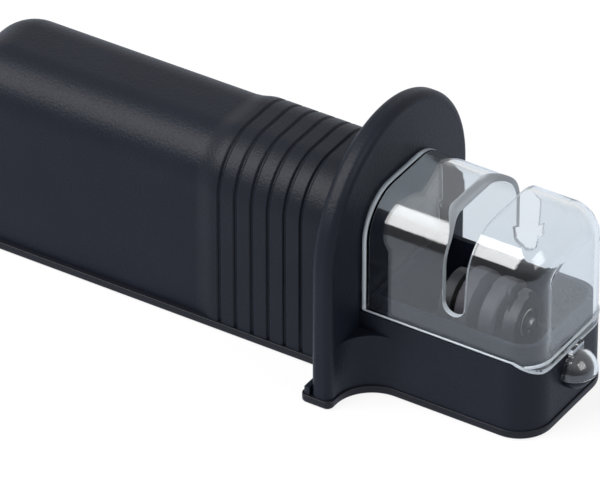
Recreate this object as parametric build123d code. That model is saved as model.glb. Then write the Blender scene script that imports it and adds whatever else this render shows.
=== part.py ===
from build123d import *
import math
import os

# Pull-through knife sharpener: a hollow handle with a ribbed soft grip, a round hand guard,
# a head with a tray of sharpening wheels, and a clear cover with the slot for the blade.
# Millimetres. +X runs from the handle to the free end of the head, +Z is up and the object
# is alike on both sides of Y = 0. The origin is the middle of its underside.

# Lengths along the object
handle_length = 102.3
guard_thickness = 5.0
head_length = 43.1

# Sole plate, the flat cover that closes the whole underside
pad_stand = 0.3
sole_thickness = 2.0
sole_proud = 0.35
sole_edge_round = 0.6

# Handle shell
handle_half_width = 15.0
handle_top = 46.4
handle_corner = 11.2
handle_end_round = 11.0
handle_wall = 2.2

# Soft grip sleeve with its grooves
grip_length = 37.3
grip_skin = 0.9
grip_edge_round = 0.5
groove_count = 6
groove_pitch = 4.15
groove_setback = 10.0
groove_width = 1.0
groove_depth = 0.55

# Hand guard
guard_half_width = 28.2
guard_top = 61.9
guard_edge_round = 1.9
guard_foot_height = 4.2
guard_foot_reach = 2.0
guard_foot_round = 1.6
guard_web_margin = 2.9
guard_web_top = 15.2

# Clear cover
cover_half_width = 15.7
cover_top = 47.0
cover_corner = 10.0
cover_end_round = 7.0
cover_wall = 1.3
cover_inset = 0.7
cover_fit = 0.3
apron_setback = 5.8
apron_run = 5.2
apron_drop = 3.1

# Slot for the blade, cut through both walls and the top of the cover
slot_place_share = 0.5313
slot_width = 5.2
slot_floor = 26.1
slot_lean = 1.0
slot_flare_height = 42.0
slot_flare = 4.0
slot_flare_bend_share = 0.7

# Snap hood of the cover, which grips the nub on the end of the tray
nub_radius = 4.2
nub_height = 10.9
nub_stand = 0.6
hood_fit = 0.25
hood_wall = 0.7
hood_neck_depth = 1.2
hood_neck_width = 4.6

# Tray under the cover, with the upstand that locates the cover
tray_rim = 19.2
tray_floor = 2.0
upstand_top = 23.1
upstand_wall = 1.2

# Spigot that joins the head to the handle
spigot_length = 12.0
spigot_wall = 2.0
spigot_fit = 0.15

# Screws that hold the sole
sole_screw_radius = 1.45
sole_screw_length = 10.0
sole_screw_head_radius = 2.8
sole_screw_boss_radius = 3.2
sole_screw_boss_depth = 13.0
spigot_screw_setback = 6.0
rear_screw_setback = 14.0
middle_screw_setback = 58.0

# Screws that hold the wheel carrier
carrier_screw_radius = 1.1
carrier_screw_length = 6.0
carrier_screw_head_radius = 2.1
carrier_screw_head_height = 1.4
carrier_screw_crown = 0.7
carrier_screw_tip_radius = 0.3
carrier_screw_boss_radius = 3.4
carrier_screw_boss_height = 3.0

# Shared by all screws
screw_fit = 0.05
screw_hole_play = 0.2
recess_arm_share = 0.62
recess_width_share = 0.2
recess_depth_share = 0.55

# Rubber pads in the sole
pad_radius = 4.0
pad_recess = 1.0
pad_edge_round = 0.3
pad_fit = 0.05
rear_pad_setback = 22.0
rear_pad_spread = 8.5
front_pad_setback = 9.5
front_pad_spread = 9.0

# Sharpening wheels, hub and axle
axle_height = 19.0
axle_radius = 1.5
axle_chamfer = 0.4
wheel_radius = 7.5
wheel_width = 5.0
wheel_gap = 0.1
wheel_root_radius = 3.6
wheel_edge_round = 0.6
wheel_dish_depth = 0.7
wheel_dish_radius = 6.2
blade_half_angle = 20.0
hub_radius = 2.8
press_gap = 0.01

# Washers, bushes and clips on the axle
washer_thickness = 0.5
washer_radius = 3.4
bush_radius = 3.0
bush_flange_radius = 3.9
bush_flange_thickness = 0.8
running_gap = 0.05
end_float = 0.2
clip_thickness = 0.6
clip_radius = 2.9
clip_groove_radius = 1.1
clip_mouth = 1.9
axle_tail = 1.0

# Wheel carrier, a base with two upright cheeks
carrier_end_gap = 1.0
carrier_side_gap = 2.2
carrier_base = 2.0
carrier_corner = 3.0
carrier_screw_place_share = 0.6
cheek_thickness = 2.5
cheek_half_width = 6.2
cheek_margin = 6.2
rail_thickness = 1.6
rail_height = 3.0
drain_width = 5.0
drain_length = 7.0
drain_round = 1.5

# Extra length of every cutter past the face that it opens
overrun = 1.0

# Stations worked out from the lengths above
hood_radius = nub_radius + hood_fit + hood_wall
hood_reach = nub_stand + hood_radius
overall_length = sole_proud + handle_length + guard_thickness + head_length + hood_reach
rear_x = sole_proud - overall_length / 2
guard_rear_x = rear_x + handle_length
guard_x = guard_rear_x + guard_thickness
head_end_x = guard_x + head_length
slot_x = guard_x + head_length * slot_place_share
apron_x = head_end_x - apron_setback
apron_rim = tray_rim - apron_drop
sole_top = pad_stand + sole_thickness
tray_half_width = cover_half_width + cover_inset
tray_corner = cover_end_round + cover_inset
tray_floor_top = sole_top + tray_floor
upstand_half_width = cover_half_width - cover_wall - cover_fit
upstand_end_x = head_end_x - cover_wall - cover_fit
upstand_corner = cover_end_round - cover_wall - cover_fit
cavity_half_width = upstand_half_width - upstand_wall
cover_start_x = guard_x + cover_fit
upstand_start_x = cover_start_x + cover_wall + cover_fit
cavity_start_x = upstand_start_x + upstand_wall
cavity_end_x = upstand_end_x - upstand_wall
grip_half_width = handle_half_width + grip_skin
spigot_half_width = handle_half_width - handle_wall - spigot_fit
spigot_screw_spread = spigot_half_width - sole_screw_boss_radius
guard_web_radius = guard_half_width - tray_half_width - guard_web_margin
carrier_half_length = min(slot_x - cavity_start_x, cavity_end_x - slot_x) - carrier_end_gap
carrier_half_width = cavity_half_width - carrier_side_gap
carrier_bottom = tray_floor_top + carrier_screw_boss_height
carrier_top = carrier_bottom + carrier_base
stack_half = wheel_gap + wheel_width
cheek_inner = stack_half + washer_thickness + end_float + bush_flange_thickness
cheek_outer = cheek_inner + cheek_thickness
carrier_end_room = carrier_half_length - cheek_outer
carrier_screw_offset = cheek_outer + carrier_end_room * carrier_screw_place_share
clip_start = cheek_outer + end_float
axle_half_length = clip_start + clip_thickness + axle_tail

quarter = 90
half_turn = 180

# An edge whose direction has less than this share along X runs across the object
crosswise_share = 0.5


# Section across the sharpener: flat foot, straight sides and rounded top corners
def arch_face(half_width, top, corner, base):
    flat = half_width - corner
    shoulder = top - corner
    outline = Line((-half_width, base), (half_width, base))
    outline += Line((half_width, base), (half_width, shoulder))
    outline += CenterArc((flat, shoulder), corner, 0, quarter)
    if flat > 0:
        outline += Line((flat, top), (-flat, top))
    outline += CenterArc((-flat, shoulder), corner, quarter, quarter)
    outline += Line((-half_width, shoulder), (-half_width, base))
    return make_face(outline)


# Bar with one section, from one station along X to another
def bar(face, start, end):
    station = Plane(origin=(start, 0, 0), x_dir=(0, 1, 0), z_dir=(1, 0, 0))
    return extrude(station * face, end - start, dir=(1, 0, 0))


# Arched bar whose rear end or free end is rounded over, all but its foot
def rounded_bar(start, end, half_width, top, corner, base, end_round, round_free_end):
    solid = bar(arch_face(half_width, top, corner, base), start, end)
    ends = solid.faces().sort_by(Axis.X)
    end_face = ends[-1] if round_free_end else ends[0]
    rim = [edge for edge in end_face.edges() if edge.center().Z > base + end_round]
    sides = [edge for edge in end_face.edges().filter_by(Axis.Z)]
    keep = {id(edge): edge for edge in rim + sides}
    return fillet(list(keep.values()), end_round)


# Block with one outline in the side view, reaching equally far to both sides
def across(face, side):
    station = Plane(origin=(0, side, 0), x_dir=(1, 0, 0), z_dir=(0, -1, 0))
    return extrude(station * face, 2 * side, dir=(0, -1, 0))


# Upright block with a flat outline, from one height to another
def slab(face, bottom, top):
    return extrude(Pos(0, 0, bottom) * face, top - bottom, dir=(0, 0, 1))


# Outline of the head in plan: square at the guard, rounded corners at the free end
def head_outline(half_width, start, end, corner):
    outline = Rectangle(end - start, half_width + half_width)
    outline = Pos((start + end) / 2, 0) * outline
    free_corners = outline.vertices().group_by(Axis.X)[-1]
    return fillet(free_corners, corner)


def rod(radius, bottom, top, x=0.0, y=0.0):
    return slab(Pos(x, y) * Circle(radius), bottom, top)


# Cylinder along X, from one station to another, at the height of the axle
def axle_rod(radius, start, end):
    station = Plane(origin=(start, 0, axle_height), x_dir=(0, 1, 0), z_dir=(1, 0, 0))
    return extrude(station * Circle(radius), end - start, dir=(1, 0, 0))


# Body of turning about the axle, from a flat profile of stations and radii
def turned(profile):
    axle_line = Axis((slot_x, 0, axle_height), (1, 0, 0))
    section_plane = Plane(origin=(slot_x, 0, axle_height), x_dir=(1, 0, 0), z_dir=(0, -1, 0))
    return revolve(section_plane * profile, axle_line)


def sole_screw_places():
    front_x = guard_rear_x - spigot_screw_setback
    return [
        (rear_x + rear_screw_setback, 0),
        (rear_x + middle_screw_setback, 0),
        (front_x, spigot_screw_spread),
        (front_x, -spigot_screw_spread),
    ]


def pad_places():
    rear = rear_x + rear_pad_setback
    front = head_end_x - front_pad_setback
    return {
        "pad_rear_left": (rear, rear_pad_spread),
        "pad_rear_right": (rear, -rear_pad_spread),
        "pad_front_left": (front, front_pad_spread),
        "pad_front_right": (front, -front_pad_spread),
    }


def carrier_screw_places():
    return [slot_x - carrier_screw_offset, slot_x + carrier_screw_offset]


# Cross recess in the head of a screw, cut downwards from its face
def cross_recess(head_radius, depth):
    arm = 2 * head_radius * recess_arm_share
    width = 2 * head_radius * recess_width_share
    return Box(arm, width, 2 * depth) + Box(width, arm, 2 * depth)


# Sole screw with its head down: a countersunk head, a plain shank and a pointed end
def sole_screw():
    head_height = sole_screw_head_radius - sole_screw_radius
    tip = sole_screw_radius
    profile = Polyline(
        (0, 0),
        (sole_screw_head_radius, 0),
        (sole_screw_radius, head_height),
        (sole_screw_radius, sole_screw_length - tip),
        (0, sole_screw_length),
        (0, 0),
    )
    solid = revolve(Plane.XZ * make_face(profile), Axis.Z)
    return solid - cross_recess(sole_screw_head_radius, head_height * recess_depth_share)


# Space that a sole screw takes in the sole, with its play
def sole_screw_space():
    head_height = sole_screw_head_radius - sole_screw_radius
    hole_radius = sole_screw_radius + screw_hole_play
    mouth_radius = sole_screw_head_radius + screw_fit
    cone_top = mouth_radius - hole_radius
    profile = Polyline(
        (0, -overrun),
        (mouth_radius, -overrun),
        (mouth_radius, 0),
        (hole_radius, cone_top),
        (hole_radius, sole_thickness + overrun),
        (0, sole_thickness + overrun),
        (0, -overrun),
    )
    return revolve(Plane.XZ * make_face(profile), Axis.Z)


# Pilot hole in a boss for a sole screw
def sole_screw_pilot(x, y):
    depth = pad_stand + sole_screw_length + screw_hole_play
    return rod(sole_screw_radius + screw_fit, sole_top - overrun, depth, x, y)


# Carrier screw with its head up: a domed head and a shank with a pointed end
def carrier_screw():
    head = rod(carrier_screw_head_radius, 0, carrier_screw_head_height)
    crown = head.faces().sort_by(Axis.Z)[-1].edges()
    head = fillet(crown, carrier_screw_crown)
    tip = carrier_screw_radius
    shank = rod(carrier_screw_radius, tip - carrier_screw_length, 0)
    point_base = Pos(0, 0, tip - carrier_screw_length) * Circle(carrier_screw_radius)
    point_end = Pos(0, 0, -carrier_screw_length) * Circle(carrier_screw_tip_radius)
    point = loft([point_base, point_end])
    recess_depth = carrier_screw_head_height * recess_depth_share
    recess = cross_recess(carrier_screw_head_radius, recess_depth)
    return head + shank + point - Pos(0, 0, carrier_screw_head_height) * recess


# Smooth hollow moulding of the handle, closed at its rear end and open underneath
def handle_shell():
    outer = rounded_bar(
        rear_x, guard_rear_x, handle_half_width, handle_top, handle_corner,
        sole_top, handle_end_round, False,
    )
    inner = rounded_bar(
        rear_x + handle_wall, guard_rear_x + overrun, handle_half_width - handle_wall,
        handle_top - handle_wall, handle_corner - handle_wall, sole_top - overrun,
        handle_end_round - handle_wall, False,
    )
    shell = outer - inner
    for x, y in sole_screw_places()[:2]:
        boss = rod(sole_screw_boss_radius, sole_top, handle_top, x, y)
        shell += boss & outer
        shell -= sole_screw_pilot(x, y)
    return shell


# Soft sleeve moulded over the front of the handle, with grooves round three sides
def grip_sleeve():
    start = guard_rear_x - grip_length
    grip_top = handle_top + grip_skin
    grip_corner = handle_corner + grip_skin
    sleeve = bar(arch_face(grip_half_width, grip_top, grip_corner, sole_top), start, guard_rear_x)
    rear_face = sleeve.faces().sort_by(Axis.X)[0]
    rim = [edge for edge in rear_face.edges() if edge.center().Z > sole_top]
    sleeve = fillet(rim, grip_edge_round)
    keep = arch_face(
        grip_half_width - groove_depth, grip_top - groove_depth,
        grip_corner - groove_depth, sole_top - overrun,
    )
    around = arch_face(
        grip_half_width + overrun, grip_top + overrun, grip_corner + overrun, sole_top - overrun,
    )
    for index in range(groove_count):
        x = guard_rear_x - groove_setback - index * groove_pitch
        left = x - groove_width / 2
        right = x + groove_width / 2
        sleeve -= bar(around - keep, left, right)
    core = arch_face(handle_half_width, handle_top, handle_corner, sole_top - overrun)
    return sleeve - bar(core, start - overrun, guard_rear_x + overrun)


# Hand guard: an arched plate with a rounded rim and a thicker foot behind
def guard_plate():
    plate = bar(
        arch_face(guard_half_width, guard_top, guard_half_width, sole_top), guard_rear_x, guard_x
    )
    rims = [edge for edge in plate.edges() if abs(edge.tangent_at(0).X) < crosswise_share]
    rims = [edge for edge in rims if edge.center().Z > sole_top + guard_edge_round]
    plate = fillet(rims, guard_edge_round)
    foot_start = guard_rear_x - guard_foot_reach
    foot = Pos((foot_start + guard_rear_x) / 2, 0) * Rectangle(
        guard_foot_reach, 2 * guard_half_width
    )
    foot_top = pad_stand + guard_foot_height
    foot = slab(foot, sole_top, foot_top)
    rear_edges = foot.faces().sort_by(Axis.X)[0].edges()
    rear_edges = [edge for edge in rear_edges if edge.center().Z > sole_top]
    foot = fillet(rear_edges, guard_foot_round)
    past_grip = bar(
        arch_face(grip_half_width + cover_fit, handle_top, handle_corner, 0), foot_start - overrun,
        guard_rear_x,
    )
    return plate + (foot - past_grip)


# Hollow fillet that blends the front of the guard into one side of the tray
def guard_web(side, proud, bottom, top):
    reach = guard_web_radius
    x = guard_x + proud
    y = tray_half_width + proud
    corner = Pos(x + reach / 2, y + reach / 2) * Rectangle(reach, reach)
    hollow = Pos(x + reach, y + reach) * Circle(reach)
    web = slab(corner - hollow, bottom, top)
    return web if side > 0 else mirror(web, Plane.XZ)


# Space above the slanted step at the end of the tray, where the cover's apron hangs
def apron_space():
    outline = Polyline(
        (apron_x, tray_rim), (apron_x + apron_run, apron_rim),
        (head_end_x + overrun, apron_rim), (head_end_x + overrun, cover_top),
        (apron_x, cover_top), (apron_x, tray_rim),
    )
    side = tray_half_width + overrun
    return across(make_face(outline), side)


# Hollow tongue behind the guard, which plugs into the handle
def spigot():
    start = guard_rear_x - spigot_length
    inset = handle_wall + spigot_fit
    outer = bar(
        arch_face(handle_half_width - inset, handle_top - inset, handle_corner - inset, sole_top),
        start, guard_rear_x,
    )
    inset += spigot_wall
    inner = bar(
        arch_face(
            handle_half_width - inset, handle_top - inset, handle_corner - inset,
            sole_top - overrun,
        ),
        start - overrun, guard_rear_x,
    )
    tongue = outer - inner
    for x, y in sole_screw_places()[2:]:
        boss = rod(sole_screw_boss_radius, sole_top, sole_top + sole_screw_boss_depth, x, y)
        tongue += boss & outer
    return tongue


# Tray with its cavity and the upstand that stands inside the cover
def tray():
    outer = slab(
        head_outline(tray_half_width, guard_x, head_end_x, tray_corner), sole_top, tray_rim
    )
    upstand = head_outline(upstand_half_width, upstand_start_x, upstand_end_x, upstand_corner)
    tray_body = outer - apron_space() + slab(upstand, apron_rim, upstand_top)
    cavity = head_outline(
        cavity_half_width, cavity_start_x, cavity_end_x, upstand_corner - upstand_wall
    )
    tray_body -= slab(cavity, tray_floor_top, cover_top)
    for x in carrier_screw_places():
        tray_body += rod(carrier_screw_boss_radius, tray_floor_top, carrier_bottom, x)
        pilot_bottom = carrier_top - carrier_screw_length - screw_hole_play
        pilot_radius = carrier_screw_radius + screw_fit
        tray_body -= rod(pilot_radius, pilot_bottom, carrier_bottom + overrun, x)
    return tray_body


# Round snap nub on the end of the tray
def snap_nub():
    return Pos(head_end_x + nub_stand, 0, nub_height) * Sphere(nub_radius)


# One moulding: guard, tray, spigot and snap nub
def head_body():
    body = guard_plate() + tray() + spigot()
    for side in (-1, 1):
        body += guard_web(side, 0, sole_top, guard_web_top)
    body += snap_nub()
    for x, y in sole_screw_places()[2:]:
        body -= sole_screw_pilot(x, y)
    return body


# Flat plate that closes the underside of the handle, the guard and the head
def sole_plate():
    rear = rear_x - sole_proud
    handle_part = Pos((rear + guard_rear_x) / 2, 0) * Rectangle(
        guard_rear_x - rear, 2 * (grip_half_width + sole_proud)
    )
    rear_corners = handle_part.vertices().group_by(Axis.X)[0]
    handle_part = fillet(rear_corners, handle_end_round + sole_proud)
    bar_start = guard_rear_x - guard_foot_reach - sole_proud
    bar_end = guard_x + sole_proud
    guard_part = Pos((bar_start + bar_end) / 2, 0) * Rectangle(
        bar_end - bar_start, 2 * (guard_half_width + sole_proud)
    )
    guard_part = fillet(guard_part.vertices(), guard_foot_round)
    head_part = head_outline(
        tray_half_width + sole_proud, guard_rear_x, head_end_x + sole_proud,
        tray_corner + sole_proud,
    )
    outline = handle_part + guard_part + head_part
    plate = slab(outline, pad_stand, sole_top)
    for side in (-1, 1):
        plate += guard_web(side, sole_proud, pad_stand, sole_top)
    lower_edges = plate.faces().sort_by(Axis.Z)[0].edges()
    plate = fillet(lower_edges, sole_edge_round)
    for x, y in sole_screw_places():
        plate -= Pos(x, y, pad_stand) * sole_screw_space()
    for x, y in pad_places().values():
        plate -= rod(pad_radius + pad_fit, pad_stand - overrun, pad_stand + pad_recess, x, y)
    return plate


def sole_screws():
    return [Pos(x, y, pad_stand) * sole_screw() for x, y in sole_screw_places()]


# Round rubber pad with a softened lower edge
def foot_pad(x, y):
    pad = rod(pad_radius, 0, pad_stand + pad_recess, x, y)
    return fillet(pad.faces().sort_by(Axis.Z)[0].edges(), pad_edge_round)


# Cutter for the blade slot: a round floor, one leaning side and one side that flares in a curve
def slot_cutter():
    left = -slot_width / 2
    right = slot_width / 2
    shoulder = slot_floor + slot_width / 2
    reach = cover_top + overrun
    far_left = left - slot_flare
    far_right = right + slot_lean
    bend = slot_flare_height + (cover_top - slot_flare_height) * slot_flare_bend_share
    outline = CenterArc((0, shoulder), slot_width / 2, half_turn, half_turn)
    outline += Polyline(
        (right, shoulder), (far_right, cover_top), (far_right, reach), (far_left, reach),
        (far_left, cover_top),
    )
    outline += Bezier((far_left, cover_top), (left, bend), (left, slot_flare_height))
    outline += Line((left, slot_flare_height), (left, shoulder))
    return Pos(slot_x, 0, 0) * across(make_face(outline), cover_half_width + overrun)


# Hood that hangs from the end of the cover and hugs the upper half of the snap nub
def snap_hood():
    start = head_end_x + cover_fit
    middle = Pos(head_end_x + nub_stand, 0, nub_height)
    reach = hood_radius + overrun
    keep = slab(Pos(start + reach, 0) * Rectangle(2 * reach, 2 * reach), nub_height, cover_top)
    dome = keep & middle * Sphere(hood_radius)
    neck_end = start + hood_neck_depth
    bridge_start = apron_x + apron_run
    bridge_top = apron_rim + cover_wall
    bridge = Pos((bridge_start + neck_end) / 2, 0) * Rectangle(
        neck_end - bridge_start, hood_neck_width
    )
    neck = Pos((start + neck_end) / 2, 0) * Rectangle(neck_end - start, hood_neck_width)
    link = slab(neck, nub_height, bridge_top) + slab(bridge, apron_rim, bridge_top)
    return dome + link - middle * Sphere(hood_radius - hood_wall)


# Space below the rim of the cover, level along the sides and lower at the end
def below_cover(start):
    outline = Polyline(
        (start - overrun, apron_rim - overrun), (start - overrun, tray_rim),
        (apron_x, tray_rim), (apron_x + apron_run, apron_rim),
        (apron_x + apron_run, apron_rim - overrun), (start - overrun, apron_rim - overrun),
    )
    return across(make_face(outline), cover_half_width + overrun)


# Clear cover: arched shell with a wall at each end, open underneath
def clear_cover():
    outer = rounded_bar(
        cover_start_x, head_end_x, cover_half_width, cover_top, cover_corner, apron_rim,
        cover_end_round, True,
    )
    inner = rounded_bar(
        cover_start_x + cover_wall, head_end_x - cover_wall, cover_half_width - cover_wall,
        cover_top - cover_wall, cover_corner - cover_wall, apron_rim - overrun,
        cover_end_round - cover_wall, True,
    )
    shell = outer - below_cover(cover_start_x)
    return shell + snap_hood() - inner - slot_cutter()


# Base and cheeks that carry the wheels over the tray
def wheel_carrier():
    base = Pos(slot_x, 0) * Rectangle(2 * carrier_half_length, 2 * carrier_half_width)
    base = fillet(base.vertices(), carrier_corner)
    for side in (-1, 1):
        drain = Rectangle(drain_length, drain_width)
        drain = fillet(drain.vertices(), drain_round)
        base -= Pos(slot_x, side * (carrier_half_width - rail_thickness - drain_width / 2)) * drain
    frame = slab(base, carrier_bottom, carrier_top)
    for side in (-1, 1):
        rail = Pos(slot_x, side * (carrier_half_width - rail_thickness / 2)) * Rectangle(
            2 * (carrier_half_length - carrier_corner), rail_thickness
        )
        frame += slab(rail, carrier_top, carrier_top + rail_height)
        cheek = arch_face(
            cheek_half_width, axle_height + cheek_margin, cheek_half_width, carrier_bottom
        )
        ends = sorted((slot_x + side * cheek_inner, slot_x + side * cheek_outer))
        frame += bar(cheek, ends[0], ends[1])
    bore_half = cheek_outer + overrun
    frame -= axle_rod(bush_radius + press_gap, slot_x - bore_half, slot_x + bore_half)
    for x in carrier_screw_places():
        hole_radius = carrier_screw_radius + screw_hole_play
        frame -= rod(hole_radius, carrier_bottom - overrun, carrier_top + overrun, x)
    return frame


def carrier_screws():
    return [Pos(x, 0, carrier_top) * carrier_screw() for x in carrier_screw_places()]


# Ring about the axle between two distances from the slot, on one side of it
def side_ring(side, near, far, inner, outer):
    ends = sorted((slot_x + side * near, slot_x + side * far))
    return axle_rod(outer, ends[0], ends[1]) - axle_rod(inner, ends[0], ends[1])


# Flanged bush pressed into one cheek of the carrier
def axle_bush(side):
    bore = axle_radius + running_gap
    flange_start = cheek_inner - bush_flange_thickness
    flange = side_ring(side, flange_start, cheek_inner, bore, bush_flange_radius)
    return flange + side_ring(side, cheek_inner, cheek_outer, bore, bush_radius)


def thrust_washer(side):
    bore = axle_radius + running_gap
    return side_ring(side, stack_half, stack_half + washer_thickness, bore, washer_radius)


# Open retaining clip that sits in the groove near one end of the axle
def retaining_clip(side):
    clip = side_ring(
        side, clip_start, clip_start + clip_thickness, clip_groove_radius + press_gap, clip_radius
    )
    mouth_x = slot_x + side * (clip_start + clip_thickness / 2)
    mouth_z = axle_height - clip_radius
    mouth = Pos(mouth_x, 0, mouth_z) * Box(2 * clip_thickness, clip_mouth, 2 * clip_radius)
    return clip - mouth


# Steel axle with a groove for each clip
def wheel_axle():
    axle = axle_rod(axle_radius, slot_x - axle_half_length, slot_x + axle_half_length)
    end_edges = axle.edges().filter_by(GeomType.CIRCLE)
    axle = chamfer(end_edges, axle_chamfer)
    for side in (-1, 1):
        axle -= side_ring(
            side, clip_start, clip_start + clip_thickness, clip_groove_radius, axle_radius + overrun
        )
    return axle


# Sleeve that carries both wheels on the axle
def wheel_hub():
    hub = axle_rod(hub_radius, slot_x - stack_half, slot_x + stack_half)
    return hub - axle_rod(axle_radius + press_gap, slot_x - stack_half, slot_x + stack_half)


# Ceramic wheel whose inner face is a cone, so that two wheels form the V for the blade
def sharpening_wheel(side):
    bore = hub_radius + press_gap
    cone_depth = (wheel_radius - wheel_root_radius) * math.tan(math.radians(blade_half_angle))
    outer_x = stack_half
    profile = Polyline(
        (wheel_gap, bore),
        (wheel_gap, wheel_root_radius),
        (wheel_gap + cone_depth, wheel_radius),
        (outer_x, wheel_radius),
        (outer_x, wheel_dish_radius),
        (outer_x - wheel_dish_depth, wheel_dish_radius),
        (outer_x - wheel_dish_depth, bore + wheel_dish_depth),
        (outer_x, bore + wheel_dish_depth),
        (outer_x, bore),
        (wheel_gap, bore),
    )
    wheel = turned(make_face(profile))
    rim = wheel.edges().filter_by(GeomType.CIRCLE)
    rim = [edge for edge in rim if abs(edge.radius - wheel_radius) < press_gap]
    rim = sorted(rim, key=lambda edge: edge.center().X)[-1:]
    wheel = fillet(rim, wheel_edge_round)
    return wheel if side > 0 else mirror(wheel, Plane(origin=(slot_x, 0, 0), z_dir=(1, 0, 0)))


def write(name, shape):
    solids = shape if isinstance(shape, list) else shape.solids()
    whole = solids[0] if len(solids) == 1 else Compound(children=list(solids))
    export_step(whole, f"parts/{name}.step")


def main():
    os.makedirs("parts", exist_ok=True)
    write("handle_shell", handle_shell())
    write("grip_sleeve", grip_sleeve())
    write("head_body", head_body())
    write("sole_plate", sole_plate())
    write("sole_screws", sole_screws())
    for name, place in pad_places().items():
        write(name, foot_pad(*place))
    write("clear_cover", clear_cover())
    write("wheel_carrier", wheel_carrier())
    write("carrier_screws", carrier_screws())
    write("wheel_axle", wheel_axle())
    write("wheel_hub", wheel_hub())
    for label, side in (("left", -1), ("right", 1)):
        write(f"bush_{label}", axle_bush(side))
        write(f"washer_{label}", thrust_washer(side))
        write(f"clip_{label}", retaining_clip(side))
        write(f"wheel_{label}", sharpening_wheel(side))


main()
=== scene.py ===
# %% [markdown]
# A pull-through knife sharpener, dressed round its CAD frame.
# The frame gives every piece its real size and place, in metres, with +X running from the
# handle to the free end of the head. This lesson adds what the frame lacks: softened edges,
# ribs, beads, and materials that start from what each real surface is.

# %% Load the frame and keep its box
import bpy
import bmesh
import math
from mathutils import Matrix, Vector


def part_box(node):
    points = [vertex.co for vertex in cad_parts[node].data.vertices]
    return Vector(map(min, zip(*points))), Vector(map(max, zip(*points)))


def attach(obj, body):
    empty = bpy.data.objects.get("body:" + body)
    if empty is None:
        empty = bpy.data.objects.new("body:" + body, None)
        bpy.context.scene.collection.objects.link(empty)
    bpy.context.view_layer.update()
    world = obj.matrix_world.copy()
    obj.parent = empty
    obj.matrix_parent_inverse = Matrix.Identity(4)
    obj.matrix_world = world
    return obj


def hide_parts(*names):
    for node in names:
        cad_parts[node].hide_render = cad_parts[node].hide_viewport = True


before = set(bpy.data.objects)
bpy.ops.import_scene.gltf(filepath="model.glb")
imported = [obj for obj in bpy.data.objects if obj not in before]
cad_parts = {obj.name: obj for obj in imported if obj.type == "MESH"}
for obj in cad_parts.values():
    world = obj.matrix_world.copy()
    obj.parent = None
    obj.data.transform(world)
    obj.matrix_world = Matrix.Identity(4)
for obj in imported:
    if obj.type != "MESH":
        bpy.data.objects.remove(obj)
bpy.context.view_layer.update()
MM = 0.001
FULL_TURN = 2 * math.pi
print("nodes in the frame:", len(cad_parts))

# %% [markdown]
# A few sizes come straight from the frame's boxes, so that this script follows the CAD model
# when that changes. The clear cover starts a small clearance in front of the hand guard.

# %% Stations and sizes read from the frame
COVER_CLEARANCE = 0.3 * MM
HEAD_LENGTH = 43.1 * MM
GRIP_SKIN = 0.9 * MM

cover_low, cover_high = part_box("clear_cover")
grip_low, grip_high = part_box("grip_sleeve")
guard_face_x = cover_low.x - COVER_CLEARANCE
guard_back_x = grip_high.x
print("guard from", round(guard_back_x / MM, 2), "to", round(guard_face_x / MM, 2), "mm")

# %% [markdown]
# Colours are written as the hex values that a paint chart gives, and turned to the linear
# numbers that the shaders need. One helper adds a node, sets it and links it.

# %% Colour and node helpers
def linear(hex_colour):
    channels = [int(hex_colour[i:i + 2], 16) / 255 for i in (1, 3, 5)]
    return [c / 12.92 if c <= 0.04045 else ((c + 0.055) / 1.055) ** 2.4 for c in channels] + [1.0]


def add(tree, kind, settings=None, links=None):
    node = tree.nodes.new(kind)
    for name, value in (settings or {}).items():
        if isinstance(name, str) and name in node.bl_rna.properties:
            setattr(node, name, value)
        else:
            node.inputs[name].default_value = value
    for name, source in (links or {}).items():
        tree.links.new(source, node.inputs[name])
    return node


def new_material(name):
    material = bpy.data.materials.new(name)
    material.use_nodes = True
    material.node_tree.nodes.clear()
    return material, material.node_tree


def finish_material(tree, surface):
    add(tree, "ShaderNodeOutputMaterial", links={"Surface": surface})


print("white as linear numbers:", linear("#FFFFFF")[:3])

# %% [markdown]
# The camera stands in front of the free end, to the left and above, as for a catalogue
# picture. Its place is worked out from the point where the guard meets the worktop, and the
# far distance with a long lens gives the nearly parallel edges of such pictures.

# %% Camera
IMAGE_WIDTH = 600
IMAGE_HEIGHT = 500
VIEW_AZIMUTH = math.radians(31.42)
VIEW_ELEVATION = math.radians(35.68)
VIEW_DISTANCE = 1.6389
PIXELS_PER_METRE = 4641.2
GUARD_FOOT_PIXEL = (399.72, 345.59)
SENSOR = 36.0
CLIP_NEAR = 0.01
CLIP_FAR = 20

back = Vector((
    math.sin(VIEW_AZIMUTH) * math.cos(VIEW_ELEVATION),
    -math.cos(VIEW_AZIMUTH) * math.cos(VIEW_ELEVATION),
    math.sin(VIEW_ELEVATION),
))
right = Vector((math.cos(VIEW_AZIMUTH), math.sin(VIEW_AZIMUTH), 0))
up = back.cross(right)
guard_foot = Vector((guard_face_x, 0, 0))
aside = (GUARD_FOOT_PIXEL[0] - IMAGE_WIDTH / 2) / PIXELS_PER_METRE
below = (GUARD_FOOT_PIXEL[1] - IMAGE_HEIGHT / 2) / PIXELS_PER_METRE
target = guard_foot - right * aside + up * below
camera_data = bpy.data.cameras.new("catalogue_camera")
camera_data.sensor_width = SENSOR
camera_data.lens = SENSOR * PIXELS_PER_METRE * VIEW_DISTANCE / IMAGE_WIDTH
camera_data.clip_start = CLIP_NEAR
camera_data.clip_end = CLIP_FAR
camera = bpy.data.objects.new("catalogue_camera", camera_data)
bpy.context.scene.collection.objects.link(camera)
camera.location = guard_foot + back * VIEW_DISTANCE
camera.rotation_euler = (target - camera.location).to_track_quat("-Z", "Y").to_euler()
bpy.context.scene.camera = camera
print("lens:", round(camera_data.lens), "mm")

# %% [markdown]
# The studio is a white sweep with one large softbox, high and to the left, and a weak fill
# from the other side. The floor glows for the camera, for mirrors and for clear plastic, so
# that it reads as white paper, and its matt share still takes the shadow. What is mirrored
# has its own strengths: dim at the front and low down, and brighter towards the back.

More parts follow.
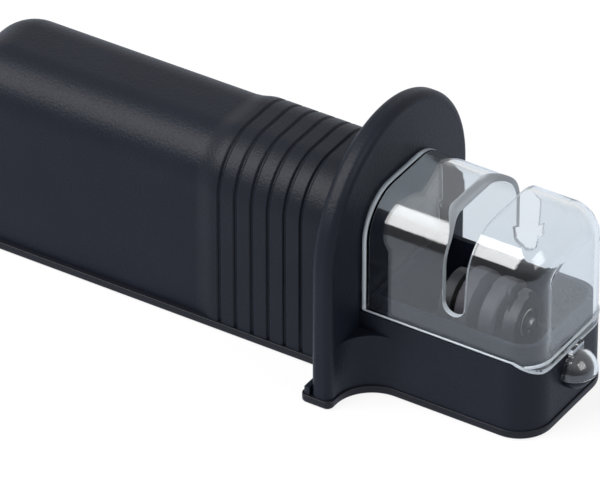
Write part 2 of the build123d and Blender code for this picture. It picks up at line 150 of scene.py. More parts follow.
# %% Floor, world and lamps
FLOOR_GLOW_SHARE = 0.86
FLOOR_HALF = 4.0
MIRRORED_FLOOR = "#E2ECFC"
REFRACTED_FLOOR = "#E2E9F1"
KEY_DIRECTION = Vector((-0.42, -0.53, 0.73))
KEY_DISTANCE = 1.25
KEY_WIDTH = 0.9
KEY_HEIGHT = 1.0
KEY_POWER = 20.0
FILL_DIRECTION = Vector((0.75, -0.1, 0.65))
FILL_DISTANCE = 1.5
FILL_SIZE = 0.9
FILL_POWER = 7.0
WORLD_GLOW = 0.36
MIRRORED_LOW = 0.25
MIRRORED_HIGH = 0.85
MIRRORED_FROM = -0.2
MIRRORED_TO = 0.45
CEILING_SIDE = (0.0, 0.5, 0.85)


def seen_directly(tree):
    path = add(tree, "ShaderNodeLightPath")
    first = add(tree, "ShaderNodeMath", {"operation": "MAXIMUM"}, {
        0: path.outputs["Is Camera Ray"], 1: path.outputs["Is Glossy Ray"],
    })
    return add(tree, "ShaderNodeMath", {"operation": "MAXIMUM"}, {
        0: first.outputs[0], 1: path.outputs["Is Transmission Ray"],
    }).outputs[0]


def studio_floor():
    mesh = bpy.data.meshes.new("studio_floor")
    corners = [(-1, -1), (1, -1), (1, 1), (-1, 1)]
    mesh.from_pydata([(x * FLOOR_HALF, y * FLOOR_HALF, 0) for x, y in corners], [], [(0, 1, 2, 3)])
    floor = bpy.data.objects.new("studio_floor", mesh)
    bpy.context.scene.collection.objects.link(floor)
    material, tree = new_material("matt_white_paper")
    paper = add(tree, "ShaderNodeBsdfDiffuse", {"Color": linear("#F4F4F4")})
    path = add(tree, "ShaderNodeLightPath")
    bent = add(tree, "ShaderNodeMix", {
        "data_type": "RGBA", 6: linear(MIRRORED_FLOOR), 7: linear(REFRACTED_FLOOR),
    }, {0: path.outputs["Is Transmission Ray"]})
    tone = add(tree, "ShaderNodeMix", {"data_type": "RGBA", 7: linear("#FFFFFF")}, {
        0: path.outputs["Is Camera Ray"], 6: bent.outputs[2],
    })
    glow = add(tree, "ShaderNodeEmission", {"Strength": 1.0}, {"Color": tone.outputs[2]})
    share = add(tree, "ShaderNodeMath", {"operation": "MULTIPLY", 1: FLOOR_GLOW_SHARE}, {
        0: seen_directly(tree),
    })
    mixed = add(tree, "ShaderNodeMixShader", links={
        0: share.outputs[0], 1: paper.outputs[0], 2: glow.outputs[0],
    })
    finish_material(tree, mixed.outputs[0])
    mesh.materials.append(material)


def studio_world():
    world = bpy.data.worlds.new("studio_world")
    bpy.context.scene.world = world
    world.use_nodes = True
    tree = world.node_tree
    tree.nodes.clear()
    path = add(tree, "ShaderNodeLightPath")
    straight = add(tree, "ShaderNodeMath", {"operation": "MAXIMUM"}, {
        0: path.outputs["Is Camera Ray"], 1: path.outputs["Is Transmission Ray"],
    })
    open_glow = add(tree, "ShaderNodeMapRange", {"To Min": WORLD_GLOW, "To Max": 1.0}, {
        "Value": straight.outputs[0],
    })
    way = add(tree, "ShaderNodeTexCoord").outputs["Generated"]
    lift = add(tree, "ShaderNodeVectorMath", {"operation": "DOT_PRODUCT", 1: CEILING_SIDE}, {
        0: way,
    })
    mirrored = add(tree, "ShaderNodeMapRange", {
        "From Min": MIRRORED_FROM, "From Max": MIRRORED_TO,
        "To Min": MIRRORED_LOW, "To Max": MIRRORED_HIGH,
    }, {"Value": lift.outputs["Value"]})
    strength = add(tree, "ShaderNodeMix", {"data_type": "FLOAT"}, {
        0: path.outputs["Is Glossy Ray"], 2: open_glow.outputs[0], 3: mirrored.outputs[0],
    })
    glow = add(tree, "ShaderNodeBackground", {"Color": linear("#FFFFFF")}, {
        "Strength": strength.outputs[0],
    })
    add(tree, "ShaderNodeOutputWorld", links={"Surface": glow.outputs[0]})


def softbox(name, direction, distance, width, height, power):
    data = bpy.data.lights.new(name, "AREA")
    data.shape = "RECTANGLE"
    data.size = width
    data.size_y = height
    data.energy = power
    lamp = bpy.data.objects.new(name, data)
    bpy.context.scene.collection.objects.link(lamp)
    lamp.location = target + direction.normalized() * distance
    lamp.rotation_euler = (target - lamp.location).to_track_quat("-Z", "Y").to_euler()


studio_floor()
studio_world()
softbox("key_softbox", KEY_DIRECTION, KEY_DISTANCE, KEY_WIDTH, KEY_HEIGHT, KEY_POWER)
softbox("fill_softbox", FILL_DIRECTION, FILL_DISTANCE, FILL_SIZE, FILL_SIZE, FILL_POWER)
bpy.context.scene.view_settings.view_transform = "Standard"

# %% [markdown]
# Moulded plastic, rubber and ceramic share one recipe: a base colour that drifts a little, a
# fine grain as bump, and a roughness that varies with it. Each finish gets its own grain in
# real millimetres, because that is what tells ABS from rubber at a glance.

# %% The shared recipe of a moulded or sintered surface
CLOUD_SIZE = 14 * MM


def grained(name, dark, light, roughness, spread, grain, height, specular):
    material, tree = new_material(name)
    place = add(tree, "ShaderNodeTexCoord").outputs["Object"]
    cloud = add(tree, "ShaderNodeTexNoise", {"Scale": 1 / CLOUD_SIZE, "Detail": 3.0}, {
        "Vector": place,
    })
    colour = add(tree, "ShaderNodeMix", {"data_type": "RGBA", 6: linear(dark), 7: linear(light)}, {
        0: cloud.outputs["Fac"],
    })
    speckle = add(tree, "ShaderNodeTexNoise", {"Scale": 1 / grain, "Detail": 2.0}, {"Vector": place})
    rough = add(tree, "ShaderNodeMapRange", {
        "To Min": roughness - spread, "To Max": roughness + spread,
    }, {"Value": speckle.outputs["Fac"]})
    bump = add(tree, "ShaderNodeBump", {"Strength": 1.0, "Distance": height}, {
        "Height": speckle.outputs["Fac"],
    })
    shader = add(tree, "ShaderNodeBsdfPrincipled", {"Specular IOR Level": specular}, {
        "Base Color": colour.outputs[2], "Roughness": rough.outputs[0], "Normal": bump.outputs[0],
    })
    finish_material(tree, shader.outputs[0])
    return material


# %% [markdown]
# The handle, the guard and the tray are black ABS from a spark-eroded mould: a satin surface
# with a fine even pebble that breaks the highlight into a soft speckle. The sole is the same
# plastic from a smoother tool, and the grip is a softer elastomer that shines less.

# %% Plastics, rubbers and ceramic
ABS_GRAIN = 0.6 * MM
ABS_PEBBLE = 0.08 * MM
ABS_SMOOTH = 0.02 * MM
SLEEVE_GRAIN = 0.5 * MM
SLEEVE_PEBBLE = 0.08 * MM
RUBBER_GRAIN = 0.3 * MM
RUBBER_HEIGHT = 0.05 * MM
NYLON_GRAIN = 0.5 * MM
NYLON_HEIGHT = 0.04 * MM
TURNED_GRAIN = 0.4 * MM
TURNED_HEIGHT = 0.01 * MM
GRIT_GRAIN = 0.24 * MM
GRIT_HEIGHT = 0.06 * MM

abs_textured = grained(
    "spark_eroded_black_abs", "#10131C", "#161A24", 0.42, 0.08, ABS_GRAIN, ABS_PEBBLE, 0.15
)
abs_satin = grained(
    "satin_moulded_black_abs", "#111319", "#16181F", 0.38, 0.05, ABS_GRAIN, ABS_SMOOTH, 0.2
)
elastomer = grained(
    "overmoulded_black_elastomer", "#10131B", "#161A23", 0.43, 0.07,
    SLEEVE_GRAIN, SLEEVE_PEBBLE, 0.16,
)
pad_rubber = grained(
    "moulded_black_rubber", "#15151A", "#1C1C20", 0.7, 0.06, RUBBER_GRAIN, RUBBER_HEIGHT, 0.2
)
nylon = grained(
    "glass_filled_black_nylon", "#15171B", "#1E2024", 0.5, 0.1, NYLON_GRAIN, NYLON_HEIGHT, 0.4
)
black_acetal = grained(
    "turned_black_acetal", "#16181C", "#1C1E22", 0.3, 0.05, TURNED_GRAIN, TURNED_HEIGHT, 0.45
)
natural_acetal = grained(
    "turned_natural_acetal", "#CFCBC0", "#DAD6CC", 0.38, 0.05, TURNED_GRAIN, TURNED_HEIGHT, 0.45
)
# The wheels' dark tone is partly the ceramic's own grey and partly painted shade: it is lowered so
# that they stay as dim as in the shade under the cover.
ceramic = grained(
    "fine_grit_sintered_ceramic", "#29272C", "#38353B", 0.6, 0.12, GRIT_GRAIN, GRIT_HEIGHT, 0.4
)
print("moulded finishes:", len(bpy.data.materials))

# %% [markdown]
# The axle is ground stainless steel, its washers and clips are blackened, and the screws are
# zinc plated.
# A metal has no base grain of its own: the fine lines come from how it was cut, so the noise
# is drawn out along the direction in which the tool ran.

# %% Metals
GRIND_LINE = 0.12 * MM
GRIND_REACH = 2.5 * MM
GRIND_DEPTH = 0.004 * MM


def cut_metal(name, dark, light, roughness, spread):
    material, tree = new_material(name)
    place = add(tree, "ShaderNodeTexCoord").outputs["Object"]
    drawn = add(tree, "ShaderNodeMapping", {
        "Scale": (1 / GRIND_LINE, 1 / GRIND_REACH, 1 / GRIND_REACH),
    }, {"Vector": place})
    lines = add(tree, "ShaderNodeTexNoise", {"Scale": 1.0, "Detail": 2.0}, {
        "Vector": drawn.outputs[0],
    })
    colour = add(tree, "ShaderNodeMix", {"data_type": "RGBA", 6: linear(dark), 7: linear(light)}, {
        0: lines.outputs["Fac"],
    })
    rough = add(tree, "ShaderNodeMapRange", {
        "To Min": roughness - spread, "To Max": roughness + spread,
    }, {"Value": lines.outputs["Fac"]})
    bump = add(tree, "ShaderNodeBump", {"Strength": 1.0, "Distance": GRIND_DEPTH}, {
        "Height": lines.outputs["Fac"],
    })
    shader = add(tree, "ShaderNodeBsdfPrincipled", {"Metallic": 1.0}, {
        "Base Color": colour.outputs[2], "Roughness": rough.outputs[0], "Normal": bump.outputs[0],
    })
    finish_material(tree, shader.outputs[0])
    return material


# The axle's colour is darker than bare ground steel. This is painted shade, which keeps its end as
# faint as in the shade under the cover.
stainless = cut_metal("ground_stainless_steel", "#7F7E7D", "#9A9998", 0.36, 0.08)
blackened = cut_metal("black_oxide_steel", "#2C2C2F", "#3E3E42", 0.36, 0.08)
zinc = cut_metal("zinc_plated_steel", "#AEB2B6", "#CBCFD3", 0.32, 0.08)
print("metals:", stainless.name, blackened.name, zinc.name)

# %% [markdown]
# The cover is clear polycarbonate, polished in the mould: two smooth surfaces a wall apart,
# so each wall mirrors the white studio twice, and edges and corners bend what is behind them.
# Lamps reach the wheels through a plain see-through shader, because light that has to find
# its way through two curved walls would otherwise take far too long to settle.

# %% Clear plastic
POLYCARBONATE_IOR = 1.585
POLISH = 0.03
FLOW_SIZE = 9 * MM
FLOW_HEIGHT = 0.02 * MM
FLOW_STRENGTH = 0.6


def clear_plastic(name, tint):
    material, tree = new_material(name)
    place = add(tree, "ShaderNodeTexCoord").outputs["Object"]
    flow = add(tree, "ShaderNodeTexNoise", {"Scale": 1 / FLOW_SIZE, "Detail": 1.0}, {
        "Vector": place,
    })
    bump = add(tree, "ShaderNodeBump", {"Strength": FLOW_STRENGTH, "Distance": FLOW_HEIGHT}, {
        "Height": flow.outputs["Fac"],
    })
    body = add(tree, "ShaderNodeBsdfPrincipled", {
        "Base Color": linear(tint), "Roughness": POLISH, "IOR": POLYCARBONATE_IOR,
        "Transmission Weight": 1.0,
    }, {"Normal": bump.outputs[0]})
    lamp_light = add(tree, "ShaderNodeBsdfTransparent", {"Color": linear("#F3F5F7")})
    path = add(tree, "ShaderNodeLightPath")
    mixed = add(tree, "ShaderNodeMixShader", links={
        0: path.outputs["Is Shadow Ray"], 1: body.outputs[0], 2: lamp_light.outputs[0],
    })
    finish_material(tree, mixed.outputs[0])
    return material


polycarbonate = clear_plastic("polished_clear_polycarbonate", "#F7FAFC")
print("clear plastic:", polycarbonate.name)

# %% [markdown]
# The big mouldings keep the shape of the frame, but no moulded edge is perfectly sharp. Each
# gets a copy whose loose triangles are joined, whose flat faces are made whole, and whose
# sharp edges then take a small bevel that catches the light.

# %% Softened copies of the mouldings
SAME_POINT = 0.0005 * MM
FLAT_ANGLE = math.radians(0.4)
SHARP_ANGLE = math.radians(32)
EDGE_SEGMENTS = 3
BODY_EDGE = 0.3 * MM
SOLE_EDGE = 0.2 * MM


def link_piece(name, mesh, body, node_names):
    piece = bpy.data.objects.new(name, mesh)
    bpy.context.scene.collection.objects.link(piece)
    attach(piece, body)
    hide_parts(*node_names)
    return piece


def joined_copy(node):
    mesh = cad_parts[node].data.copy()
    form = bmesh.new()
    form.from_mesh(mesh)
    bmesh.ops.remove_doubles(form, verts=form.verts, dist=SAME_POINT)
    bmesh.ops.dissolve_limit(
        form, angle_limit=FLAT_ANGLE, verts=form.verts, edges=form.edges, delimit={"NORMAL"}
    )
    for face in form.faces:
        face.smooth = True
    form.to_mesh(mesh)
    form.free()
    if mesh.has_custom_normals:
        mesh.attributes.remove(mesh.attributes["custom_normal"])
    mesh.materials.clear()
    return mesh


def softened(name, node, body, material, width):
    mesh = joined_copy(node)
    mesh.name = name
    mesh.materials.append(material)
    piece = link_piece(name, mesh, body, [node])
    bevel = piece.modifiers.new("mould_edge", "BEVEL")
    bevel.limit_method = "ANGLE"
    bevel.angle_limit = SHARP_ANGLE
    bevel.width = width
    bevel.segments = EDGE_SEGMENTS
    bevel.harden_normals = True
    bevel.use_clamp_overlap = True
    print(name, "faces", len(mesh.polygons))
    return piece


softened("handle_moulding", "handle_shell", "base", abs_textured, BODY_EDGE)
softened("head_moulding", "head_body", "base", abs_textured, BODY_EDGE)
softened("sole_moulding", "sole_plate", "base", abs_satin, SOLE_EDGE)

# %% [markdown]
# The clear cover is cut open by the blade slot and at its rim. On the real moulding those
# narrow edges are not polished like the big faces: they stay matt, scatter the light that
# travels inside the wall, and so show as pale lines. They get a second, frosted finish.

# %% Frosted edge of the clear plastic
FROST_GRAIN = 0.3 * MM


def frosted_plastic(name, tint, clearness, smoothest, roughest):
    material, tree = new_material(name)
    place = add(tree, "ShaderNodeTexCoord").outputs["Object"]
    grit = add(tree, "ShaderNodeTexNoise", {"Scale": 1 / FROST_GRAIN, "Detail": 2.0}, {
        "Vector": place,
    })
    rough = add(tree, "ShaderNodeMapRange", {"To Min": smoothest, "To Max": roughest}, {
        "Value": grit.outputs["Fac"],
    })
    shader = add(tree, "ShaderNodeBsdfPrincipled", {
        "Base Color": linear(tint), "IOR": POLYCARBONATE_IOR, "Transmission Weight": clearness,
    }, {"Roughness": rough.outputs[0]})
    finish_material(tree, shader.outputs[0])
    return material


frosted_edge = frosted_plastic("matt_edge_of_polycarbonate", "#D3DAE2", 0.45, 0.35, 0.55)
slot_face = frosted_plastic("satin_slot_face_of_polycarbonate", "#B9C1C9", 0.6, 0.25, 0.4)
print("edge finishes:", frosted_edge.name, slot_face.name)

# %% [markdown]
# The slot and the rim are found by where their faces lie and which way they point, so the
# frosted finish follows the frame if the slot moves. The bevel takes the frosted finish too,
# which draws the fine bright outline that a clear moulding has. Normals weighted by area keep
# the flat walls flat, so that nothing behind them is bent out of shape.

# %% Clear cover with frosted edges
COVER_EDGE = 0.28 * MM
SLOT_REACH = 8.0 * MM
UPRIGHT_SHARE = 0.05
LEVEL_SHARE = 0.2
slot_middle_x = (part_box("wheel_left")[0].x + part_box("wheel_right")[1].x) / 2
cover_middle_z = (cover_low.z + cover_high.z) / 2


def edge_finish(face):
    normal = face.normal
    middle = face.center
    in_slot = abs(middle.x - slot_middle_x) < SLOT_REACH and abs(normal.y) < UPRIGHT_SHARE
    if in_slot and 0 < normal.z and middle.z < cover_middle_z:
        return 1
    if in_slot and abs(normal.x) > LEVEL_SHARE:
        return 2
    lowest = normal.z < -LEVEL_SHARE and middle.z < cover_middle_z
    return 1 if lowest and abs(normal.y) < LEVEL_SHARE else 0


cover_piece = softened(
    "cover_moulding", "clear_cover", "cover", polycarbonate, COVER_EDGE
)
cover_piece.data.materials.append(frosted_edge)
cover_piece.data.materials.append(slot_face)
for face in cover_piece.data.polygons:
    face.material_index = edge_finish(face)
cover_edge = cover_piece.modifiers["mould_edge"]
cover_edge.material = 1
cover_edge.harden_normals = False
level = cover_piece.modifiers.new("level_faces", "WEIGHTED_NORMAL")
level.mode = "FACE_AREA"
level.keep_sharp = True
print("finishes on the cover:", [m.name for m in cover_piece.data.materials])

# %% [markdown]
# The little hood over the nub is polished all over, its cut edges too. The bevel is therefore
# turned into plain faces first, and every face beyond the end wall gets the clear finish.

# %% Polished hood
HOOD_GAP = 0.2 * MM
cover_end_x = guard_face_x + HEAD_LENGTH


def made_plain(piece):
    bpy.context.view_layer.update()
    evaluated = piece.evaluated_get(bpy.context.evaluated_depsgraph_get())
    mesh = bpy.data.meshes.new_from_object(evaluated)
    mesh.name = piece.name
    piece.modifiers.clear()
    piece.data = mesh


made_plain(cover_piece)
hood_faces = [f for f in cover_piece.data.polygons if f.center.x > cover_end_x + HOOD_GAP]
for face in hood_faces:
    face.material_index = 0
print("polished faces on the hood:", len(hood_faces))

# %% [markdown]
# The grip is a soft sleeve over the front of the handle, with grooves that run round three
# sides. Grooves that repeat at one pitch follow a rule, so Geometry Nodes press them into a
# plain arched skin: each point moves inwards by a depth that depends only on how far its
# station along X lies from the nearest groove. Changing the pitch or depth is then one number.

# %% Plain arched skin of the grip
GROOVE_PITCH = 4.15 * MM
GROOVE_SETBACK = 10.0 * MM
GROOVE_COUNT = 6
GROOVE_WIDTH = 1.1 * MM
GROOVE_DEPTH = 0.55 * MM
SLEEVE_RAMP = 5.0 * MM
SKIN_STEP = 0.16 * MM
ARC_STEPS = 22
SIDE_STEPS = 14
TOP_STEPS = 8
HANDLE_CORNER = 11.2 * MM


def arch_points(half_width, base, top, corner):
    points = []
    flat = half_width - corner
    shoulder = top - corner
    for i in range(SIDE_STEPS):
        height = base + (shoulder - base) * i / SIDE_STEPS
        points.append(((half_width, height), (1, 0)))
    for i in range(ARC_STEPS):
        turn = math.pi / 2 * i / ARC_STEPS
        out = (math.cos(turn), math.sin(turn))
        points.append(((flat + corner * out[0], shoulder + corner * out[1]), out))
    for i in range(TOP_STEPS + 1):
        points.append(((flat * (1 - i / TOP_STEPS), top), (0, 1)))
    mirrored = [((-p[0], p[1]), (-n[0], n[1])) for p, n in reversed(points[:-1])]
    return points + mirrored


def grip_skin_mesh():
    half_width = grip_high.y
    section = arch_points(half_width, grip_low.z, grip_high.z, HANDLE_CORNER + GRIP_SKIN)
    steps = math.ceil((grip_high.x - grip_low.x) / SKIN_STEP)
    verts = []
    inward = []
    for i in range(steps + 1):
        x = grip_low.x + (grip_high.x - grip_low.x) * i / steps
        for (y, z), (out_y, out_z) in section:
            verts.append((x, y, z))
            inward.append((0.0, -out_y, -out_z))
    width = len(section)
    faces = []
    for i in range(steps):
        for j in range(width - 1):
            a = i * width + j
            faces.append((a, a + width, a + width + 1, a + 1))
    mesh = bpy.data.meshes.new("grip_skin")
    mesh.from_pydata(verts, [], faces)
    field = mesh.attributes.new("inward", "FLOAT_VECTOR", "POINT")
    for item, value in zip(field.data, inward):
        item.vector = value
    for face in mesh.polygons:
        face.use_smooth = True
    print("plain skin:", len(verts), "points")
    return mesh


grip_skin = grip_skin_mesh()

# %% [markdown]
# Every rule below is a node group with named inputs. It ends by making its instances real and
# setting the material, and it is then turned into a plain mesh.

# %% Node helpers for the rules
def new_rule(name, sizes):
    rule = bpy.data.node_groups.new(name, "GeometryNodeTree")
    rule.interface.new_socket("Geometry", in_out="INPUT", socket_type="NodeSocketGeometry")
    for label, kind in sizes:
        rule.interface.new_socket(label, in_out="INPUT", socket_type="NodeSocket" + kind)
    rule.interface.new_socket("Geometry", in_out="OUTPUT", socket_type="NodeSocketGeometry")
    return rule, add(rule, "NodeGroupInput")


def close_rule(rule, geometry, material_socket):
    real = add(rule, "GeometryNodeRealizeInstances", links={"Geometry": geometry})
    dressed = add(rule, "GeometryNodeSetMaterial", links={
        "Geometry": real.outputs[0], "Material": material_socket,
    })
    add(rule, "NodeGroupOutput", links={"Geometry": dressed.outputs[0]})


def math_node(rule, operation, first, second=None):
    settings = {"operation": operation}
    links = {}
    for index, value in enumerate((first, second)):
        if isinstance(value, (int, float)):
            settings[index] = value
        elif value is not None:
            links[index] = value
    return add(rule, "ShaderNodeMath", settings, links).outputs[0]


def apply_rule(mesh, rule, sizes, name):
    carrier = bpy.data.objects.new(name + "_source", mesh)
    bpy.context.scene.collection.objects.link(carrier)
    modifier = carrier.modifiers.new("rule", "NODES")
    modifier.node_group = rule
    sockets = {item.name: item.identifier for item in rule.interface.items_tree}
    for label, value in sizes.items():
        modifier[sockets[label]] = value
    bpy.context.view_layer.update()
    evaluated = carrier.evaluated_get(bpy.context.evaluated_depsgraph_get())
    result = bpy.data.meshes.new_from_object(evaluated)
    result.name = name
    carrier.modifiers.remove(modifier)
    bpy.data.objects.remove(carrier)
    print(name, "has", len(result.polygons), "faces")
    return result


# %% [markdown]
# The rule itself: the station is measured back from the last groove, divided by the pitch,
# and the distance to the nearest whole number gives the distance to the nearest groove. A
# smooth step turns that into the groove's rounded section, and a second one lets the rear end
# of the sleeve run out into the handle, where the real one shows no step.

# %% Rule that presses the grooves
GROOVE_FLOOR_SHARE = 0.35
RUN_OUT_SHARE = 0.9


def groove_rule():
    rule, given = new_rule("pressed_grooves", [
        ("Last groove", "Float"), ("Pitch", "Float"), ("Count", "Float"), ("Width", "Float"),
        ("Depth", "Float"), ("Rear end", "Float"), ("Ramp", "Float"), ("Skin", "Float"),
        ("Finish", "Material"),
    ])
    size = given.outputs
    place = add(rule, "GeometryNodeInputPosition")
    station = add(rule, "ShaderNodeSeparateXYZ", links={0: place.outputs[0]}).outputs[0]
    back = math_node(rule, "SUBTRACT", size["Last groove"], station)
    turns = math_node(rule, "DIVIDE", back, size["Pitch"])
    whole = math_node(rule, "ROUND", turns)
    last = math_node(rule, "SUBTRACT", size["Count"], 1.0)
    nearest = math_node(rule, "MINIMUM", math_node(rule, "MAXIMUM", whole, 0.0), last)
    away = math_node(rule, "ABSOLUTE", math_node(rule, "SUBTRACT", turns, nearest))
    distance = math_node(rule, "MULTIPLY", away, size["Pitch"])
    half_width = math_node(rule, "DIVIDE", size["Width"], 2.0)
    groove = add(rule, "ShaderNodeMapRange", {
        "interpolation_type": "SMOOTHSTEP", "To Min": 1.0, "To Max": 0.0,
    }, {
        "Value": distance, "From Max": half_width,
        "From Min": math_node(rule, "MULTIPLY", half_width, GROOVE_FLOOR_SHARE),
    })
    pressed = math_node(rule, "MULTIPLY", groove.outputs[0], size["Depth"])
    into_sleeve = math_node(rule, "SUBTRACT", station, size["Rear end"])
    ramp = add(rule, "ShaderNodeMapRange", {
        "interpolation_type": "SMOOTHSTEP", "To Min": 1.0, "To Max": 0.0,
    }, {"Value": into_sleeve, "From Max": size["Ramp"]})
    faded = math_node(rule, "MULTIPLY", ramp.outputs[0], size["Skin"])
    depth = math_node(rule, "MAXIMUM", pressed, faded)
    inward = add(rule, "GeometryNodeInputNamedAttribute", {
        "data_type": "FLOAT_VECTOR", "Name": "inward",
    })
    shift = add(rule, "ShaderNodeVectorMath", {"operation": "SCALE"}, {
        0: inward.outputs["Attribute"], "Scale": depth,
    })
    moved = add(rule, "GeometryNodeSetPosition", links={
        "Geometry": size["Geometry"], "Offset": shift.outputs[0],
    })
    close_rule(rule, moved.outputs[0], size["Finish"])
    return rule


grip_mesh = apply_rule(grip_skin, groove_rule(), {
    "Last groove": guard_back_x - GROOVE_SETBACK, "Pitch": GROOVE_PITCH,
    "Count": float(GROOVE_COUNT), "Width": GROOVE_WIDTH, "Depth": GROOVE_DEPTH,
    "Rear end": grip_low.x, "Ramp": SLEEVE_RAMP, "Skin": GRIP_SKIN * RUN_OUT_SHARE,
    "Finish": elastomer,
}, "ribbed_grip")
link_piece("ribbed_grip", grip_mesh, "base", ["grip_sleeve"])

# %% [markdown]
# A moulded clear box gets small round beads where it would otherwise be weak: along its rim,
# round the end that faces the guard, and across its free end. They catch light as pale
# lines. Each is one curve with a round section swept along it, which is a job for nodes: the
# rule takes any path of points, and the radius is its one size.

# %% Rule that sweeps a bead along a path
BEAD_SIDES = 14


def bead_rule():
    rule, given = new_rule("bead_along_path", [("Radius", "Float"), ("Finish", "Material")])
    path = add(rule, "GeometryNodeMeshToCurve", links={"Mesh": given.outputs["Geometry"]})
    section = add(rule, "GeometryNodeCurvePrimitiveCircle", {"Resolution": BEAD_SIDES}, {
        "Radius": given.outputs["Radius"],
    })
    swept = add(rule, "GeometryNodeCurveToMesh", {"Fill Caps": True}, {
        "Curve": path.outputs[0], "Profile Curve": section.outputs[0],
    })
    smooth = add(rule, "GeometryNodeSetShadeSmooth", links={"Geometry": swept.outputs[0]})
    close_rule(rule, smooth.outputs[0], given.outputs["Finish"])
    return rule


swept_bead = bead_rule()


def bead(name, points, radius):
    path = bpy.data.meshes.new(name + "_path")
    path.from_pydata(points, [(i, i + 1) for i in range(len(points) - 1)], [])
    mesh = apply_rule(path, swept_bead, {"Radius": radius, "Finish": frosted_edge}, name)
    piece = bpy.data.objects.new(name, mesh)
    bpy.context.scene.collection.objects.link(piece)
    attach(piece, "cover")


print("sides of a bead's section:", BEAD_SIDES)

# %% [markdown]
# The paths follow the cover: once round the rim, which drops at the free end to form the
# apron, once over the arch at the guard, and once across the end wall.

# %% Paths of the three beads
COVER_CORNER = 10.0 * MM
COVER_END_ROUND = 7.0 * MM
TRAY_RIM = 19.2 * MM
APRON_SETBACK = 5.8 * MM
APRON_RUN = 5.2 * MM
APRON_DROP = 3.1 * MM
RIM_BEAD = 0.26 * MM
END_BEAD = 0.5 * MM
CROSS_BEAD = 0.4 * MM
BEAD_SINK = 0.1 * MM
CROSS_BEAD_BELOW_RIM = 0.7 * MM
PLAN_STEP = 0.5 * MM

cover_half = cover_high.y


def plan_outline(half_width, start, end, corner):
    points = []
    straight = math.ceil((end - corner - start) / PLAN_STEP)
    for i in range(straight):
        points.append((start + (end - corner - start) * i / straight, -half_width))
    for i in range(ARC_STEPS + 1):
        turn = math.pi / 2 * (i / ARC_STEPS - 1)
        points.append((
            end - corner + corner * math.cos(turn), -half_width + corner + corner * math.sin(turn),
        ))
    across = math.ceil((half_width - corner) / PLAN_STEP)
    for i in range(1, across + 1):
        points.append((end, (corner - half_width) * (1 - i / across)))
    return points + [(x, -y) for x, y in reversed(points[:-1])]


def rim_height(x):
    slope = (x - (cover_end_x - APRON_SETBACK)) / APRON_RUN
    return TRAY_RIM - APRON_DROP * min(max(slope, 0.0), 1.0)


rim_plan = plan_outline(
    cover_half - BEAD_SINK, cover_low.x + END_BEAD, cover_end_x - BEAD_SINK,
    COVER_END_ROUND - BEAD_SINK,
)
bead("rim_bead", [(x, y, rim_height(x) + RIM_BEAD) for x, y in rim_plan], RIM_BEAD)
end_arch = arch_points(
    cover_half - BEAD_SINK, TRAY_RIM + END_BEAD, cover_high.z - END_BEAD, COVER_CORNER - BEAD_SINK
)
bead("guard_end_bead", [(cover_low.x + END_BEAD, y, z) for (y, z), out in end_arch], END_BEAD)
cross_plan = [(x, y) for x, y in rim_plan if x > cover_end_x - COVER_END_ROUND / 2]
cross_height = TRAY_RIM - CROSS_BEAD_BELOW_RIM
bead("end_wall_bead", [(x, y, cross_height) for x, y in cross_plan], CROSS_BEAD)

# %% [markdown]
# Four rubber pads keep the sharpener from sliding. They are one moulding used four times:
# a turned disc with ring grooves in its tread. The disc is made once as a mesh, and a rule
# puts an instance of it at each place that the frame gives.

# %% One rubber pad, turned from its section
PAD_TURNS = 48
PAD_EDGE_ROUND = 0.3 * MM
PAD_ROUND_SHARE = 0.3
TREAD_GROOVES = 3
TREAD_DEPTH = 0.25 * MM
TREAD_GROOVE_SHARES = ((-0.22, 0), (-0.12, 1), (0.12, 1), (0.22, 0))


def pad_section(radius, height):
    profile = [(0.0, 0.0)]
    ring = radius / (TREAD_GROOVES + 1)
    for i in range(1, TREAD_GROOVES + 1):
        middle = ring * i
        for shift, depth in TREAD_GROOVE_SHARES:
            profile.append((middle + shift * ring, TREAD_DEPTH * depth))
    profile.append((radius - PAD_EDGE_ROUND, 0.0))
    corner = PAD_EDGE_ROUND * PAD_ROUND_SHARE
    profile.append((radius - corner, corner))
    profile.append((radius, PAD_EDGE_ROUND))
    profile.append((radius, height))
    profile.append((0.0, height))
    return profile


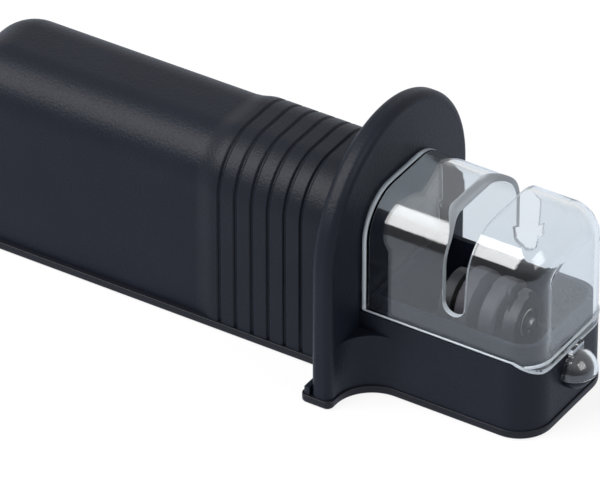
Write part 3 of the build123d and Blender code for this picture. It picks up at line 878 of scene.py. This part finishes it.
def turned_mesh(name, profile):
    form = bmesh.new()
    rings = []
    for radius, height in profile:
        if radius == 0:
            rings.append([form.verts.new((0, 0, height))])
            continue
        rings.append([
            form.verts.new((
                radius * math.cos(FULL_TURN * i / PAD_TURNS),
                radius * math.sin(FULL_TURN * i / PAD_TURNS), height,
            )) for i in range(PAD_TURNS)
        ])
    for lower, upper in zip(rings, rings[1:]):
        for i in range(PAD_TURNS):
            j = (i + 1) % PAD_TURNS
            corners = [
                lower[i % len(lower)], upper[i % len(upper)],
                upper[j % len(upper)], lower[j % len(lower)],
            ]
            form.faces.new(list(dict.fromkeys(corners)))
    bmesh.ops.recalc_face_normals(form, faces=form.faces)
    mesh = bpy.data.meshes.new(name)
    form.to_mesh(mesh)
    form.free()
    print(name, "is turned from", len(profile), "points")
    return mesh


def copies_rule():
    rule, given = new_rule("copies_at_places", [("Copied", "Object"), ("Finish", "Material")])
    source = add(rule, "GeometryNodeObjectInfo", links={"Object": given.outputs["Copied"]})
    places = add(rule, "GeometryNodeMeshToPoints", links={"Mesh": given.outputs["Geometry"]})
    copies = add(rule, "GeometryNodeInstanceOnPoints", links={
        "Points": places.outputs[0], "Instance": source.outputs["Geometry"],
    })
    close_rule(rule, copies.outputs[0], given.outputs["Finish"])
    return rule


# %% [markdown]
# The frame gives the place of each pad, and the size of the disc is that of the first one.

# %% Four pads at their places
PAD_NODES = ["pad_rear_left", "pad_rear_right", "pad_front_left", "pad_front_right"]
pad_boxes = [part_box(node) for node in PAD_NODES]
pad_low, pad_high = pad_boxes[0]
pad_mesh = turned_mesh("pad_disc", pad_section(
    (pad_high.x - pad_low.x) / 2, pad_high.z - pad_low.z
))
pad_source = bpy.data.objects.new("pad_source", pad_mesh)
bpy.context.scene.collection.objects.link(pad_source)
pad_places = bpy.data.meshes.new("pad_places")
pad_places.from_pydata(
    [((low.x + high.x) / 2, (low.y + high.y) / 2, low.z) for low, high in pad_boxes], [], []
)
pads = apply_rule(
    pad_places, copies_rule(), {"Copied": pad_source, "Finish": pad_rubber}, "ringed_pads"
)
bpy.data.objects.remove(pad_source)
link_piece("ringed_pads", pads, "base", PAD_NODES)

# %% [markdown]
# The small parts inside keep the shapes of the frame and only take their materials.

# %% Materials of the parts that keep their CAD shape
def dress(nodes, material):
    for node in nodes:
        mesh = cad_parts[node].data
        mesh.materials.clear()
        mesh.materials.append(material)
    print(material.name, "on", ", ".join(nodes))


dress(["wheel_left", "wheel_right"], ceramic)
dress(["wheel_axle"], stainless)
dress(["washer_left", "washer_right", "clip_left", "clip_right"], blackened)
dress(["sole_screws", "carrier_screws"], zinc)
dress(["wheel_hub"], black_acetal)
dress(["bush_left", "bush_right"], natural_acetal)
dress(["wheel_carrier"], nylon)
